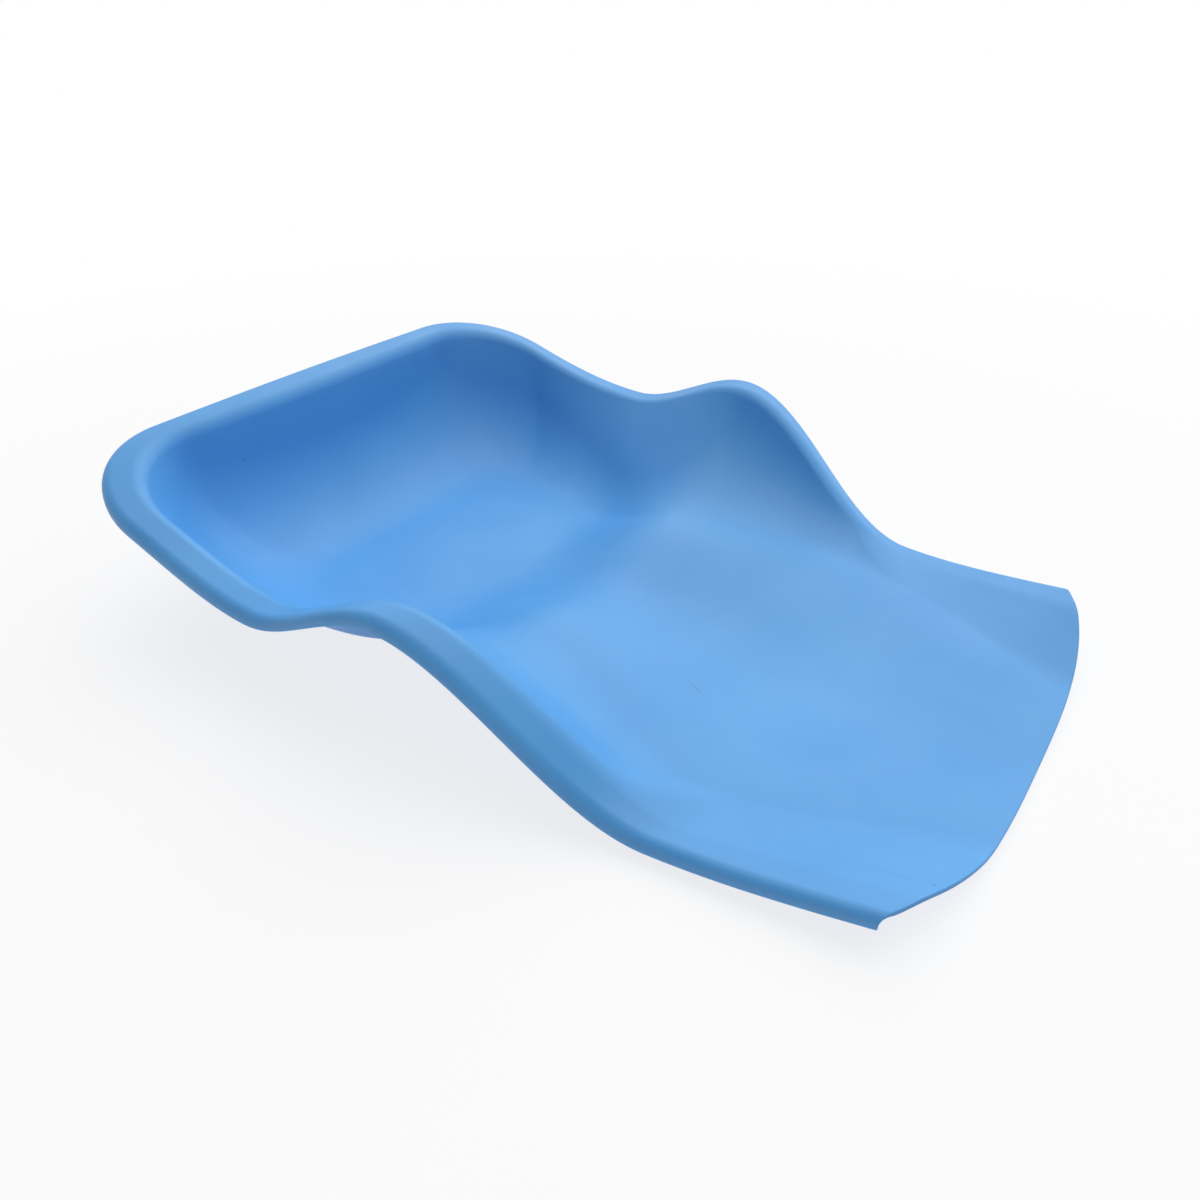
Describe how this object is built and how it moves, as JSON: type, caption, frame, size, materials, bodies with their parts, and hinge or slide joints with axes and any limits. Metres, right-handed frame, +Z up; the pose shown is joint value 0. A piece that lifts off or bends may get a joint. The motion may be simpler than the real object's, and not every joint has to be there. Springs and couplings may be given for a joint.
{
  "type": "scoop tray",
  "caption": "Open-ended scoop tray: a deep rounded well, a waved rolled rim and a shallow chute that ends in a bowed open lip.",
  "frame": {"origin": "middle of the plan box, at the level the pads stand on", "axes": "+X from the well to the open lip, +Y to the far side, +Z up"},
  "size_m": [0.4964, 0.3606, 0.0992],
  "materials": {
    "blue_plastic": "satin light blue, moulded",
    "grey_rubber": "matt dark grey"
  },
  "bodies": {
    "root": {"dish_shell": "blue_plastic", "well_pad_near": "grey_rubber", "well_pad_far": "grey_rubber", "chute_pad_near": "grey_rubber", "chute_pad_far": "grey_rubber"}
  },
  "joints": []
}
